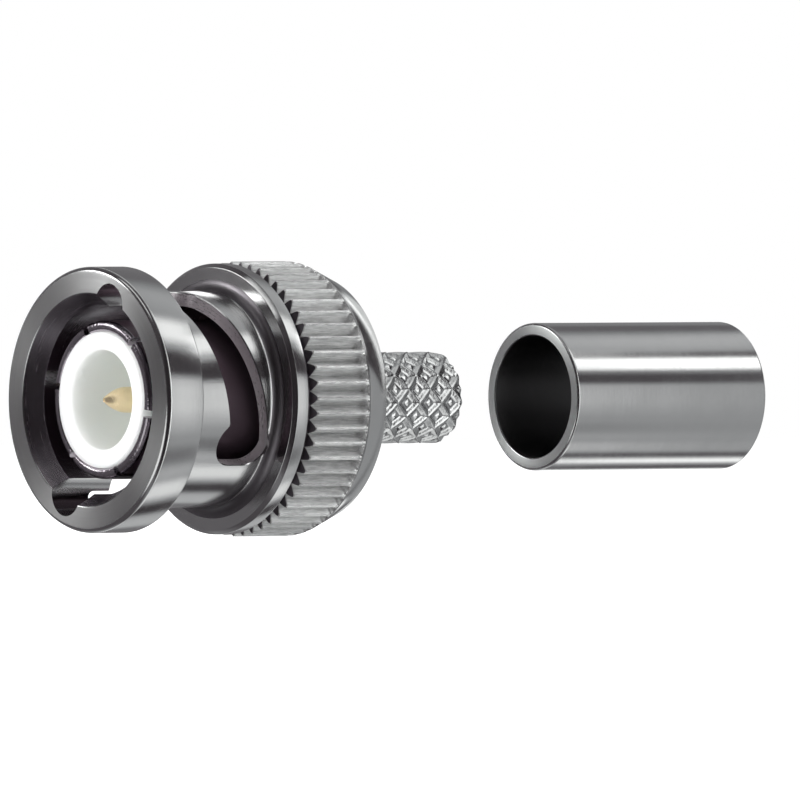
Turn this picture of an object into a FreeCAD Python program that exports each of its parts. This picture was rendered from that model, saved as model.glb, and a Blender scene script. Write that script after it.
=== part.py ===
import FreeCAD, Part
import math
import os
import Sketcher

# A crimp plug of the bayonet kind, with its crimp ferrule taken off and lying behind it on the same axis.
# Millimetres and degrees. +X runs from the mating face to the cable end, and +Z is up.
# The origin is the centre of the coupling nut's front face.

# Driving dimensions: the sheet's alias and its number
SIZES = [
    # Coupling nut, outside
    ("flange_radius", "6.91"),
    ("flange_length", "2.35"),
    ("edge_chamfer", "0.2"),
    ("waist_radius", "5.64"),
    ("waist_length", "5.82"),
    ("waist_fillet", "0.35"),
    ("head_fillet", "0.9"),
    ("head_chamfer", "0.21"),
    ("band_radius", "7.05"),
    ("band_length", "0.91"),
    ("relief_depth", "0.7"),
    ("relief_width", "0.55"),
    ("tooth_radius", "7.15"),
    ("tooth_length", "3.4"),
    ("tooth_depth", "0.62"),
    ("tooth_count", "55"),
    ("tooth_land", "0.1"),
    ("tooth_runout", "0.5"),
    ("tail_step", "0.05"),
    ("tail_length", "1.67"),
    ("tail_radius", "6.42"),
    # Coupling nut, inside
    ("mouth_radius", "5.54"),
    ("mouth_depth", "0.95"),
    ("nut_bore_radius", "4.93"),
    ("nut_bore_depth", "10.95"),
    ("rear_bore_radius", "5.85"),
    ("ring_groove_depth", "0.3"),
    ("ring_groove_width", "0.56"),
    ("ring_groove_inset", "0.55"),
    # Bayonet slots
    ("nut_turn", "111.3"),
    ("slot_count", "2"),
    ("lead_in_wall", "0.53"),
    ("slot_radius", "1.19"),
    ("ramp_start", "4.7"),
    ("ramp_rise", "1.9"),
    ("ramp_sweep", "94"),
    ("detent_return", "0.8"),
    # Outer contact
    ("contact_radius", "4.12"),
    ("contact_wall", "0.57"),
    ("contact_inset", "0.9"),
    ("contact_edge", "0.14"),
    ("slit_width", "0.38"),
    ("slit_length", "4.2"),
    ("slit_count", "6"),
    ("slit_turn", "11"),
    ("collar_radius", "5.55"),
    ("collar_length", "0.9"),
    ("sleeve_radius", "4.2"),
    ("sleeve_length", "3.1"),
    # Insulators
    ("rim_inset", "0.96"),
    ("rim_round", "0.16"),
    ("socket_radius", "2.5"),
    ("socket_depth", "5.4"),
    ("front_insulator_length", "8.64"),
    ("rear_insulator_length", "1.8"),
    # Centre contact
    ("pin_radius", "0.675"),
    ("pin_inset", "1.1"),
    ("pin_nose_length", "1.45"),
    ("pin_nose_radius", "0.09"),
    ("pin_root_radius", "0.9"),
    ("pin_root_stand", "0.05"),
    ("pin_shoulder_radius", "1.3"),
    ("pin_shoulder_length", "0.5"),
    ("pin_barrel_radius", "1.0"),
    ("pin_barrel_length", "5.0"),
    ("wire_bore_radius", "0.45"),
    ("wire_bore_depth", "3.6"),
    ("sight_hole_radius", "0.25"),
    ("sight_hole_inset", "3.0"),
    # Crimp stem
    ("hub_length", "1.3"),
    ("stem_radius", "2.4"),
    ("stem_length", "6.7"),
    ("stem_round", "0.45"),
    ("neck_length", "0.6"),
    ("cable_bore_radius", "1.9"),
    ("chamber_radius", "2.4"),
    ("diamond_starts", "10"),
    ("diamond_pitch", "1.44"),
    ("diamond_depth", "0.26"),
    ("diamond_flat", "0.2"),
    ("diamond_turn", "10"),
    ("diamond_overrun", "0.23"),
    # Gasket, washers and rings
    ("gasket_length", "0.9"),
    ("gasket_seat_rise", "0.28"),
    ("gasket_round", "0.15"),
    ("washer_thickness", "0.25"),
    ("spring_thickness", "0.2"),
    ("ring_width", "0.85"),
    ("ring_thickness", "0.44"),
    ("ring_gap", "1.6"),
    # Ferrule
    ("ferrule_radius", "3.865"),
    ("ferrule_wall", "0.655"),
    ("ferrule_length", "12.6"),
    ("ferrule_edge", "0.12"),
    ("ferrule_gap", "6.4"),
    # Clearances
    ("seat_clearance", "0.01"),
    ("insulator_clearance", "0.03"),
    ("pin_clearance", "0.04"),
    ("stop_clearance", "0.05"),
    ("spring_clearance", "0.02"),
    ("ring_clearance", "0.06"),
    ("gasket_clearance", "0.13"),
    ("gasket_end_clearance", "0.05"),
    ("washer_clearance", "0.15"),
]

doc = FreeCAD.newDocument("BayonetPlug")
sheet = doc.addObject("Spreadsheet::Sheet", "Sizes")
for row, (alias, number) in enumerate(SIZES, start=1):
    sheet.set("A%d" % row, alias)
    sheet.set("B%d" % row, number)
    sheet.setAlias("B%d" % row, alias)
doc.recompute()


class Length:
    """A number with the expression that binds it to the sheet."""

    def __init__(self, value, text):
        self.value = float(value)
        self.text = text

    @staticmethod
    def of(other):
        if isinstance(other, Length):
            return other
        return Length(other, repr(other))

    def join(self, sign, other, value):
        return Length(value, "(%s %s %s)" % (self.text, sign, Length.of(other).text))

    def __add__(self, other):
        return self.join("+", other, self.value + Length.of(other).value)

    def __sub__(self, other):
        return self.join("-", other, self.value - Length.of(other).value)

    def __mul__(self, other):
        return self.join("*", other, self.value * Length.of(other).value)

    def __truediv__(self, other):
        return self.join("/", other, self.value / Length.of(other).value)


def cell(alias):
    return Length(sheet.get(alias), "Sizes." + alias)


NOUGHT = Length(0, "0")

flange_radius = cell("flange_radius")
flange_length = cell("flange_length")
edge_chamfer = cell("edge_chamfer")
waist_radius = cell("waist_radius")
waist_fillet = cell("waist_fillet")
head_fillet = cell("head_fillet")
head_chamfer = cell("head_chamfer")
band_radius = cell("band_radius")
tooth_radius = cell("tooth_radius")
nut_bore_radius = cell("nut_bore_radius")
rear_bore_radius = cell("rear_bore_radius")
slot_radius = cell("slot_radius")
ramp_start = cell("ramp_start")
contact_radius = cell("contact_radius")
contact_inset = cell("contact_inset")
contact_edge = cell("contact_edge")
collar_radius = cell("collar_radius")
sleeve_radius = cell("sleeve_radius")
rim_inset = cell("rim_inset")
rim_round = cell("rim_round")
socket_radius = cell("socket_radius")
pin_radius = cell("pin_radius")
pin_inset = cell("pin_inset")
pin_nose_length = cell("pin_nose_length")
pin_nose_radius = cell("pin_nose_radius")
pin_root_radius = cell("pin_root_radius")
pin_shoulder_radius = cell("pin_shoulder_radius")
pin_barrel_radius = cell("pin_barrel_radius")
wire_bore_radius = cell("wire_bore_radius")
stem_radius = cell("stem_radius")
stem_round = cell("stem_round")
diamond_depth = cell("diamond_depth")
cable_bore_radius = cell("cable_bore_radius")
gasket_round = cell("gasket_round")
washer_thickness = cell("washer_thickness")
spring_thickness = cell("spring_thickness")
ferrule_radius = cell("ferrule_radius")
ferrule_edge = cell("ferrule_edge")
seat_clearance = cell("seat_clearance")
pin_clearance = cell("pin_clearance")
stop_clearance = cell("stop_clearance")
spring_clearance = cell("spring_clearance")

# Stations along the axis, each worked out from the one that it follows
head_start = flange_length + cell("waist_length")
band_end = head_start + cell("band_length")
tooth_start = band_end + cell("relief_width")
tooth_end = tooth_start + cell("tooth_length")
nut_end = tooth_end + cell("tail_length")
groove_end = nut_end - cell("ring_groove_inset")
groove_start = groove_end - cell("ring_groove_width")
shoulder = cell("nut_bore_depth")
collar_start = shoulder + stop_clearance
gasket_start = collar_start - cell("gasket_length")
gasket_seat_start = gasket_start - cell("gasket_end_clearance")
collar_end = collar_start + cell("collar_length")
sleeve_end = collar_end + cell("sleeve_length")
hub_end = sleeve_end + cell("hub_length")
stem_end = hub_end + cell("stem_length")
ferrule_start = stem_end + cell("ferrule_gap")
ferrule_end = ferrule_start + cell("ferrule_length")
socket_end = rim_inset + cell("socket_depth")
pin_root_start = socket_end - cell("pin_root_stand")
front_insulator_end = rim_inset + cell("front_insulator_length")
rear_insulator_end = front_insulator_end + cell("rear_insulator_length")
pin_shoulder_end = front_insulator_end - pin_clearance
pin_shoulder_start = pin_shoulder_end - cell("pin_shoulder_length")
barrel_end = pin_shoulder_end + cell("pin_barrel_length")
ring_end = (groove_start + groove_end + cell("ring_thickness")) / 2
ring_start = ring_end - cell("ring_thickness")
washer_end = ring_start - spring_clearance
washer_start = washer_end - washer_thickness

# Radii that follow from their neighbours
ring_groove_radius = rear_bore_radius + cell("ring_groove_depth")
ring_radius = ring_groove_radius - cell("ring_clearance")
contact_bore_radius = contact_radius - cell("contact_wall")
gasket_seat_radius = contact_radius + cell("gasket_seat_rise")
insulator_radius = contact_bore_radius - cell("insulator_clearance")
spigot_radius = contact_bore_radius - seat_clearance
washer_bore_radius = sleeve_radius + cell("washer_clearance")
washer_radius = rear_bore_radius - cell("washer_clearance")
ferrule_bore_radius = ferrule_radius - cell("ferrule_wall")


def new_body(label):
    body = doc.addObject("PartDesign::Body", label)
    body.Label = label
    return body


def origin_part(body, role):
    return [part for part in body.Origin.OriginFeatures if part.Role == role][0]


def new_sketch(body, name, role):
    sketch = body.newObject("Sketcher::SketchObject", name)
    sketch.AttachmentSupport = [(origin_part(body, role), "")]
    sketch.MapMode = "FlatFace"
    return sketch


def about_axis(degrees):
    return FreeCAD.Placement(
        FreeCAD.Vector(0, 0, 0), FreeCAD.Rotation(FreeCAD.Vector(1, 0, 0), degrees))


def bind(sketch, constraint, length):
    index = sketch.addConstraint(constraint)
    sketch.setExpression("Constraints[%d]" % index, length.text)


def fix_point(sketch, segment, end, along, out):
    bind(sketch, Sketcher.Constraint("DistanceX", -1, 1, segment, end, along.value), along)
    bind(sketch, Sketcher.Constraint("DistanceY", -1, 1, segment, end, out.value), out)


def arc_between(start, end, radius, side):
    """The minor arc from start to end, its centre to the left of the way for side 1, to the right for -1."""
    chord = end - start
    rise = math.sqrt(max(radius ** 2 - (chord.Length / 2) ** 2, 0.0))
    across = FreeCAD.Vector(-chord.y, chord.x, 0) / chord.Length
    centre = (start + end) * 0.5 + across * rise * side
    first, last = (start, end) if side > 0 else (end, start)
    first_angle = math.atan2(first.y - centre.y, first.x - centre.x)
    last_angle = math.atan2(last.y - centre.y, last.x - centre.x)
    circle = Part.Circle(centre, FreeCAD.Vector(0, 0, 1), radius)
    return Part.ArcOfCircle(circle, first_angle, last_angle)


def draw_outline(sketch, points):
    """A closed outline. A point is (along, out), or (along, out, radius, side) where an arc leaves it."""
    count = len(points)
    spots = [FreeCAD.Vector(point[0].value, point[1].value, 0) for point in points]
    leaving = []
    arriving = []
    for index, point in enumerate(points):
        start = spots[index]
        end = spots[(index + 1) % count]
        forward = len(point) == 2 or point[3] > 0
        leaving.append(1 if forward else 2)
        arriving.append(2 if forward else 1)
        if len(point) == 2:
            sketch.addGeometry(Part.LineSegment(start, end), False)
        else:
            sketch.addGeometry(arc_between(start, end, point[2].value, point[3]), False)
    for index in range(count):
        following = (index + 1) % count
        joint = Sketcher.Constraint("Coincident", index, arriving[index], following, leaving[following])
        sketch.addConstraint(joint)
    for index, point in enumerate(points):
        fix_point(sketch, index, leaving[index], point[0], point[1])
        if len(point) == 4:
            bind(sketch, Sketcher.Constraint("Radius", index, point[2].value), point[2])


def draw_circle(sketch, along, out, radius):
    centre = FreeCAD.Vector(along.value, out.value, 0)
    sketch.addGeometry(Part.Circle(centre, FreeCAD.Vector(0, 0, 1), radius.value), False)
    fix_point(sketch, 0, 3, along, out)
    bind(sketch, Sketcher.Constraint("Radius", 0, radius.value), radius)


def draw_long_hole(sketch, low, high, radius):
    """A hole with round ends, centred on the sketch's first axis from low to high."""
    upward = math.pi / 2
    ends = [(high, -upward, upward), (low, upward, 3 * upward)]
    for centre, first, last in ends:
        circle = Part.Circle(FreeCAD.Vector(centre.value, 0, 0), FreeCAD.Vector(0, 0, 1), radius.value)
        sketch.addGeometry(Part.ArcOfCircle(circle, first, last), False)
    for level in (radius.value, -radius.value):
        start = FreeCAD.Vector(high.value, level, 0)
        end = FreeCAD.Vector(low.value, level, 0)
        sketch.addGeometry(Part.LineSegment(start, end), False)
    sketch.addConstraint(Sketcher.Constraint("Tangent", 0, 2, 2, 1))
    sketch.addConstraint(Sketcher.Constraint("Tangent", 2, 2, 1, 1))
    sketch.addConstraint(Sketcher.Constraint("Tangent", 1, 2, 3, 2))
    sketch.addConstraint(Sketcher.Constraint("Tangent", 3, 1, 0, 1))
    fix_point(sketch, 0, 3, high, NOUGHT)
    bind(sketch, Sketcher.Constraint("DistanceX", -1, 1, 1, 3, low.value), low)
    bind(sketch, Sketcher.Constraint("Radius", 0, radius.value), radius)


def turn_profile(body, name, points):
    sketch = new_sketch(body, name + "Outline", "XY_Plane")
    draw_outline(sketch, points)
    feature = body.newObject("PartDesign::Revolution", name)
    feature.Profile = sketch
    feature.ReferenceAxis = (sketch, ["H_Axis"])
    feature.Angle = 360
    body.Tip = feature


def cut_pocket(body, name, sketch, depth, both_ways=False):
    """A pocket along the sketch's normal, or centred on the sketch."""
    pocket = body.newObject("PartDesign::Pocket", name)
    pocket.Profile = sketch
    pocket.Length = depth.value
    pocket.setExpression("Length", depth.text)
    pocket.Midplane = both_ways
    pocket.Reversed = not both_ways
    body.Tip = pocket
    return pocket


def pattern_about_axis(body, name, features, count):
    pattern = body.newObject("PartDesign::PolarPattern", name)
    pattern.Originals = features
    pattern.Axis = (origin_part(body, "X_Axis"), [""])
    pattern.Angle = 360
    pattern.Occurrences = int(round(count.value))
    pattern.setExpression("Occurrences", count.text)
    body.Tip = pattern


def make_coupling_nut():
    body = new_body("coupling_nut")
    relief_radius = tooth_radius - cell("relief_depth")
    turn_profile(body, "NutTurning", [
        (NOUGHT, cell("mouth_radius")),
        (NOUGHT, flange_radius - edge_chamfer),
        (edge_chamfer, flange_radius),
        (flange_length - edge_chamfer / 2, flange_radius),
        (flange_length, flange_radius - edge_chamfer / 2),
        (flange_length, waist_radius + waist_fillet, waist_fillet, 1),
        (flange_length + waist_fillet, waist_radius),
        (head_start - head_fillet, waist_radius, head_fillet, 1),
        (head_start, waist_radius + head_fillet),
        (head_start, band_radius - head_chamfer),
        (head_start + head_chamfer, band_radius),
        (band_end, band_radius),
        (band_end, relief_radius),
        (tooth_start, relief_radius),
        (tooth_start, tooth_radius),
        (tooth_end, tooth_radius),
        (tooth_end, tooth_radius - cell("tail_step")),
        (nut_end, cell("tail_radius")),
        (nut_end, rear_bore_radius + edge_chamfer),
        (nut_end - edge_chamfer, rear_bore_radius),
        (groove_end, rear_bore_radius),
        (groove_end, ring_groove_radius),
        (groove_start, ring_groove_radius),
        (groove_start, rear_bore_radius),
        (shoulder, rear_bore_radius),
        (shoulder, nut_bore_radius),
        (cell("mouth_depth"), nut_bore_radius),
    ])
    cut_teeth(body)
    cut_bayonet_slots(body)
    body.Placement = about_axis(sheet.get("nut_turn"))
    return body


def cut_teeth(body):
    """V cuts between the teeth, each closed at the rear by a sloped run-out."""
    pitch = tooth_radius * (2 * math.pi) / cell("tooth_count")
    cut_depth = cell("tooth_depth")
    cut_width = pitch - cell("tooth_land")
    root = tooth_radius - cut_depth
    gap_outline = new_sketch(body, "ToothGapOutline", "YZ_Plane")
    gap_outline.AttachmentOffset = FreeCAD.Placement(
        FreeCAD.Vector(0, 0, band_end.value), FreeCAD.Rotation())
    gap_outline.setExpression("AttachmentOffset.Base.z", band_end.text)
    # The V goes on at the same slope to twice its depth, so half its mouth there is its width at the tips
    draw_outline(gap_outline, [
        (root, NOUGHT),
        (root + cut_depth * 2, cut_width),
        (root + cut_depth * 2, NOUGHT - cut_width),
    ])
    gap = cut_pocket(body, "ToothGap", gap_outline, tooth_end - band_end)
    pattern_about_axis(body, "ToothGaps", [gap], cell("tooth_count"))
    turn_profile(body, "ToothRunout", [
        (tooth_end - cell("tooth_runout"), root),
        (tooth_end, tooth_radius - cell("tail_step")),
        (tooth_end, root),
    ])


def cut_bayonet_slots(body):
    """Two lead-ins from the front face, each followed by a cam ramp round the waist and a round detent."""
    outside = waist_radius + head_fillet
    inside = nut_bore_radius - slot_radius
    ramp_end = ramp_start + cell("ramp_rise")

    lead_in_outline = new_sketch(body, "LeadInOutline", "YZ_Plane")
    draw_circle(lead_in_outline, flange_radius - cell("lead_in_wall") - slot_radius, NOUGHT, slot_radius)
    lead_in = cut_pocket(body, "LeadIn", lead_in_outline, ramp_start)

    corner_outline = new_sketch(body, "LeadInCornerOutline", "XY_Plane")
    corner_outline.AttachmentOffset = about_axis(-90)
    draw_circle(corner_outline, ramp_start, NOUGHT, slot_radius)
    corner = cut_pocket(body, "LeadInCorner", corner_outline, outside)

    ramp_outline = new_sketch(body, "RampOutline", "XY_Plane")
    draw_outline(ramp_outline, [
        (ramp_start - slot_radius, inside),
        (ramp_start - slot_radius, outside),
        (ramp_start + slot_radius, outside),
        (ramp_start + slot_radius, inside),
    ])
    ramp = body.newObject("PartDesign::SubtractiveHelix", "Ramp")
    ramp.Profile = ramp_outline
    ramp.ReferenceAxis = (ramp_outline, ["H_Axis"])
    ramp.Mode = "height-turns-angle"
    ramp.Height = cell("ramp_rise").value
    ramp.setExpression("Height", cell("ramp_rise").text)
    turns = cell("ramp_sweep") / 360
    ramp.Turns = turns.value
    ramp.setExpression("Turns", turns.text)
    ramp.Angle = 0
    ramp.Growth = 0
    ramp.LeftHanded = False
    ramp.Reversed = False
    body.Tip = ramp

    detent_outline = new_sketch(body, "DetentOutline", "XY_Plane")
    detent_outline.AttachmentOffset = about_axis(sheet.get("ramp_sweep") - 90)
    draw_long_hole(detent_outline, ramp_end - cell("detent_return"), ramp_end, slot_radius)
    detent = cut_pocket(body, "Detent", detent_outline, outside)

    pattern_about_axis(body, "BayonetSlots", [lead_in, corner, ramp, detent], cell("slot_count"))


def make_outer_contact():
    """A sleeve of springy fingers in front, with a raised gasket seat, a collar and a plain sleeve behind it."""
    body = new_body("outer_contact")
    turn_profile(body, "ContactTurning", [
        (contact_inset, contact_bore_radius + contact_edge),
        (contact_inset, contact_radius - contact_edge),
        (contact_inset + contact_edge, contact_radius),
        (gasket_seat_start, contact_radius),
        (gasket_seat_start, gasket_seat_radius),
        (collar_start, gasket_seat_radius),
        (collar_start, collar_radius - contact_edge),
        (collar_start + contact_edge, collar_radius),
        (collar_end - contact_edge, collar_radius),
        (collar_end, collar_radius - contact_edge),
        (collar_end, sleeve_radius),
        (sleeve_end, sleeve_radius),
        (sleeve_end, contact_bore_radius),
        (contact_inset + contact_edge, contact_bore_radius),
    ])
    wall = cell("contact_wall")
    slit_outline = new_sketch(body, "SlitOutline", "XY_Plane")
    draw_outline(slit_outline, [
        (contact_inset - wall, contact_bore_radius - wall),
        (contact_inset - wall, contact_radius + wall),
        (contact_inset + cell("slit_length"), contact_radius + wall),
        (contact_inset + cell("slit_length"), contact_bore_radius - wall),
    ])
    slit = cut_pocket(body, "Slit", slit_outline, cell("slit_width"), both_ways=True)
    pattern_about_axis(body, "Slits", [slit], cell("slit_count"))
    body.Placement = about_axis(sheet.get("slit_turn"))
    return body


def make_front_insulator():
    """A white bead with a deep front socket, a bore for the pin and a seat for its shoulder."""
    body = new_body("front_insulator")
    pin_bore_radius = pin_root_radius + pin_clearance
    seat_radius = pin_shoulder_radius + pin_clearance
    seat_start = pin_shoulder_start - pin_clearance
    turn_profile(body, "FrontInsulatorTurning", [
        (rim_inset, socket_radius + rim_round),
        (rim_inset, insulator_radius - rim_round, rim_round, -1),
        (rim_inset + rim_round, insulator_radius),
        (front_insulator_end, insulator_radius),
        (front_insulator_end, seat_radius),
        (seat_start, seat_radius),
        (seat_start, pin_bore_radius),
        (socket_end, pin_bore_radius),
        (socket_end, socket_radius),
        (rim_inset + rim_round, socket_radius, rim_round, -1),
    ])
    return body


def make_rear_insulator():
    body = new_body("rear_insulator")
    turn_profile(body, "RearInsulatorTurning", [
        (front_insulator_end, pin_barrel_radius + pin_clearance),
        (front_insulator_end, insulator_radius),
        (rear_insulator_end, insulator_radius),
        (rear_insulator_end, pin_barrel_radius + pin_clearance),
    ])
    return body


def make_centre_contact():
    """A round-nosed pin with a shoulder and a hollow barrel that takes the cable's wire."""
    body = new_body("centre_contact")
    nose_width = pin_radius - pin_nose_radius
    nose_curve = (pin_nose_length * pin_nose_length + nose_width * nose_width) / (nose_width * 2)
    wire_bore_start = barrel_end - cell("wire_bore_depth")
    turn_profile(body, "PinTurning", [
        (pin_inset, NOUGHT),
        (pin_inset, pin_nose_radius, nose_curve, -1),
        (pin_inset + pin_nose_length, pin_radius),
        (pin_root_start, pin_radius),
        (pin_root_start, pin_root_radius),
        (pin_shoulder_start, pin_root_radius),
        (pin_shoulder_start, pin_shoulder_radius),
        (pin_shoulder_end, pin_shoulder_radius),
        (pin_shoulder_end, pin_barrel_radius),
        (barrel_end, pin_barrel_radius),
        (barrel_end, wire_bore_radius),
        (wire_bore_start, wire_bore_radius),
        (wire_bore_start, NOUGHT),
    ])
    hole_outline = new_sketch(body, "SightHoleOutline", "XY_Plane")
    draw_circle(hole_outline, barrel_end - cell("sight_hole_inset"), NOUGHT, cell("sight_hole_radius"))
    cut_pocket(body, "SightHole", hole_outline, pin_barrel_radius + wire_bore_radius)
    return body


def make_crimp_stem():
    """A spigot pressed into the outer contact, a hub, and a stem with a diamond knurl."""
    blank = new_body("stem_blank")
    neck_end = hub_end + cell("neck_length")
    neck_radius = stem_radius - diamond_depth
    chamber_radius = cell("chamber_radius")
    turn_profile(blank, "StemTurning", [
        (rear_insulator_end, chamber_radius),
        (rear_insulator_end, spigot_radius),
        (sleeve_end, spigot_radius),
        (sleeve_end, sleeve_radius),
        (hub_end - contact_edge, sleeve_radius),
        (hub_end, sleeve_radius - contact_edge),
        (hub_end, neck_radius),
        (neck_end, neck_radius),
        (neck_end, stem_radius),
        (stem_end - stem_round, stem_radius, stem_round, -1),
        (stem_end, stem_radius - stem_round),
        (stem_end, cable_bore_radius),
        (sleeve_end, cable_bore_radius),
        (sleeve_end, chamber_radius),
    ])

    form = doc.addObject("Part::Feature", "DiamondForm")
    form.Shape = diamond_form(neck_end.value, stem_end.value)
    ring = doc.addObject("Part::Cylinder", "DiamondRing")
    reach = stem_radius + diamond_depth
    knurl_length = stem_end - neck_end + diamond_depth
    ring.Radius = reach.value
    ring.setExpression("Radius", reach.text)
    ring.Height = knurl_length.value
    ring.setExpression("Height", knurl_length.text)
    ring.Placement = FreeCAD.Placement(
        FreeCAD.Vector(neck_end.value, 0, 0), FreeCAD.Rotation(FreeCAD.Vector(0, 1, 0), 90))
    grooves = doc.addObject("Part::Cut", "DiamondGrooves")
    grooves.Base = ring
    grooves.Tool = form
    stem = doc.addObject("Part::Cut", "crimp_stem")
    stem.Label = "crimp_stem"
    stem.Base = blank
    stem.Tool = grooves
    return stem


def diamond_form(low, high):
    """A closed form of flat-topped diamonds in rows round the axis, longer than the stretch low to high."""
    starts = int(round(sheet.get("diamond_starts")))
    columns = 2 * starts
    row_step = sheet.get("diamond_pitch") / 2
    tip = sheet.get("stem_radius")
    root = tip - sheet.get("diamond_depth")
    flat = sheet.get("diamond_flat")
    first_turn = math.radians(sheet.get("diamond_turn"))
    last_station = high + sheet.get("diamond_overrun")
    spare_rows = 2
    before = int(math.ceil((last_station - low) / row_step)) + spare_rows
    rows = range(-before, spare_rows + 1)

    def corner(row, column):
        angle = first_turn + math.pi * column / starts
        return FreeCAD.Vector(
            last_station + row * row_step, root * math.cos(angle), root * math.sin(angle))

    triangles = []
    for row in rows[1:-1]:
        for column in range(columns):
            if (row + column) % 2 == 0:
                continue
            angle = first_turn + math.pi * column / starts
            out = FreeCAD.Vector(0, math.cos(angle), math.sin(angle))
            base = [
                corner(row - 1, column), corner(row, column + 1),
                corner(row + 1, column), corner(row, column - 1)]
            middle = FreeCAD.Vector(last_station + row * row_step, 0, 0)
            top = []
            for point in base:
                aside = (point - middle) - out * (point - middle).dot(out)
                top.append(middle + out * tip + aside * flat)
            for side in range(4):
                following = (side + 1) % 4
                triangles.append((base[side], base[following], top[following]))
                triangles.append((base[side], top[following], top[side]))
            triangles.append((top[0], top[1], top[2]))
            triangles.append((top[0], top[2], top[3]))
    for row, inner_row in ((rows[0], rows[1]), (rows[-1], rows[-2])):
        centre = FreeCAD.Vector(last_station + row * row_step, 0, 0)
        for column in range(columns):
            if (row + column) % 2 == 0:
                start = corner(row, column)
                end = corner(inner_row, column + 1)
            else:
                start = corner(inner_row, column)
                end = corner(row, column + 1)
            triangles.append((centre, start, end))
    faces = [Part.Face(Part.makePolygon(list(points) + [points[0]])) for points in triangles]
    shell = Part.makeShell(faces)
    shell.sewShape()
    solid = Part.makeSolid(shell)
    if solid.Volume < 0:
        solid.reverse()
    return solid


def make_sealing_gasket():
    body = new_body("sealing_gasket")
    gasket_radius = nut_bore_radius - cell("gasket_clearance")
    gasket_bore_radius = gasket_seat_radius + seat_clearance
    turn_profile(body, "GasketForm", [
        (gasket_start, gasket_bore_radius),
        (gasket_start, gasket_radius - gasket_round, gasket_round, -1),
        (gasket_start + gasket_round, gasket_radius),
        (collar_start, gasket_radius),
        (collar_start, gasket_bore_radius),
    ])
    return body


def make_flat_washer():
    body = new_body("flat_washer")
    turn_profile(body, "WasherBlank", [
        (washer_start, washer_bore_radius),
        (washer_start, washer_radius),
        (washer_end, washer_radius),
        (washer_end, washer_bore_radius),
    ])
    return body


def make_retaining_ring():
    """A split ring that sits in the nut's inner groove."""
    body = new_body("retaining_ring")
    width = cell("ring_width")
    turn_profile(body, "RingBlank", [
        (ring_start, ring_radius - width),
        (ring_start, ring_radius),
        (ring_end, ring_radius),
        (ring_end, ring_radius - width),
    ])
    gap_outline = new_sketch(body, "RingGapOutline", "XY_Plane")
    draw_outline(gap_outline, [
        (ring_start - width, ring_radius - width * 2),
        (ring_start - width, ring_radius + width),
        (ring_end + width, ring_radius + width),
        (ring_end + width, ring_radius - width * 2),
    ])
    cut_pocket(body, "RingGap", gap_outline, cell("ring_gap"), both_ways=True)
    return body


def make_spring_washer(label, crown, way):
    """A bowed washer whose crown touches the plane at crown and whose sides bend away along way."""
    room = (washer_start - collar_end) / 2
    bow = room - spring_clearance * 2 - spring_thickness
    outer_bend = (washer_radius * washer_radius + bow * bow) / (bow * 2)
    inner_bend = outer_bend - spring_thickness
    along_x = FreeCAD.Rotation(FreeCAD.Vector(0, 1, 0), 90)

    def cylinder(name, radius, height, base, rotation):
        thing = doc.addObject("Part::Cylinder", label + name)
        thing.Radius = radius.value
        thing.setExpression("Radius", radius.text)
        thing.Height = height.value
        thing.setExpression("Height", height.text)
        thing.Placement = FreeCAD.Placement(base, rotation)
        return thing

    def cut(name, base, tool):
        thing = doc.addObject("Part::Cut", label + name)
        thing.Base = base
        thing.Tool = tool
        return thing

    tube_start = FreeCAD.Vector(collar_end.value, 0, 0)
    tube_length = room * 2
    tube = cut(
        "Tube",
        cylinder("Rim", washer_radius, tube_length, tube_start, along_x),
        cylinder("Bore", washer_bore_radius, tube_length, tube_start, along_x))
    bend_centre = FreeCAD.Vector(
        crown.value + way * (spring_clearance.value + outer_bend.value), 0, -washer_radius.value)
    upright = FreeCAD.Rotation()
    sheet_form = cut(
        "Sheet",
        cylinder("OuterBend", outer_bend, washer_radius * 2, bend_centre, upright),
        cylinder("InnerBend", inner_bend, washer_radius * 2, bend_centre, upright))
    washer = doc.addObject("Part::Common", label)
    washer.Label = label
    washer.Base = tube
    washer.Tool = sheet_form
    return washer


def make_crimp_ferrule():
    body = new_body("crimp_ferrule")
    turn_profile(body, "FerruleTurning", [
        (ferrule_start, ferrule_bore_radius + ferrule_edge),
        (ferrule_start, ferrule_radius - ferrule_edge, ferrule_edge, -1),
        (ferrule_start + ferrule_edge, ferrule_radius),
        (ferrule_end - ferrule_edge, ferrule_radius, ferrule_edge, -1),
        (ferrule_end, ferrule_radius - ferrule_edge),
        (ferrule_end, ferrule_bore_radius + ferrule_edge),
        (ferrule_end - ferrule_edge, ferrule_bore_radius),
        (ferrule_start + ferrule_edge, ferrule_bore_radius),
    ])
    return body


nodes = [
    make_coupling_nut(),
    make_outer_contact(),
    make_front_insulator(),
    make_rear_insulator(),
    make_centre_contact(),
    make_crimp_stem(),
    make_sealing_gasket(),
    make_spring_washer("spring_washer_front", collar_end, 1),
    make_spring_washer("spring_washer_rear", washer_start, -1),
    make_flat_washer(),
    make_retaining_ring(),
    make_crimp_ferrule(),
]

doc.recompute()
for item in doc.Objects:
    if "Invalid" in item.State or "Error" in item.State:
        raise RuntimeError("%s failed: %s" % (item.Label, item.State))
for node in nodes:
    if node.Shape.isNull() or not node.Shape.isValid():
        raise RuntimeError("%s has no valid shape" % node.Label)
os.makedirs("parts", exist_ok=True)
for node in nodes:
    node.Shape.exportStep("parts/%s.step" % node.Label)
    box = node.Shape.BoundBox
    print("%s: %.2f mm3, %d solid, x %.2f to %.2f, across %.2f by %.2f" % (
        node.Label, node.Shape.Volume, len(node.Shape.Solids), box.XMin, box.XMax, box.YLength, box.ZLength))
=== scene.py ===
import math

import bmesh
import bpy
from mathutils import Matrix, Vector


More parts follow.
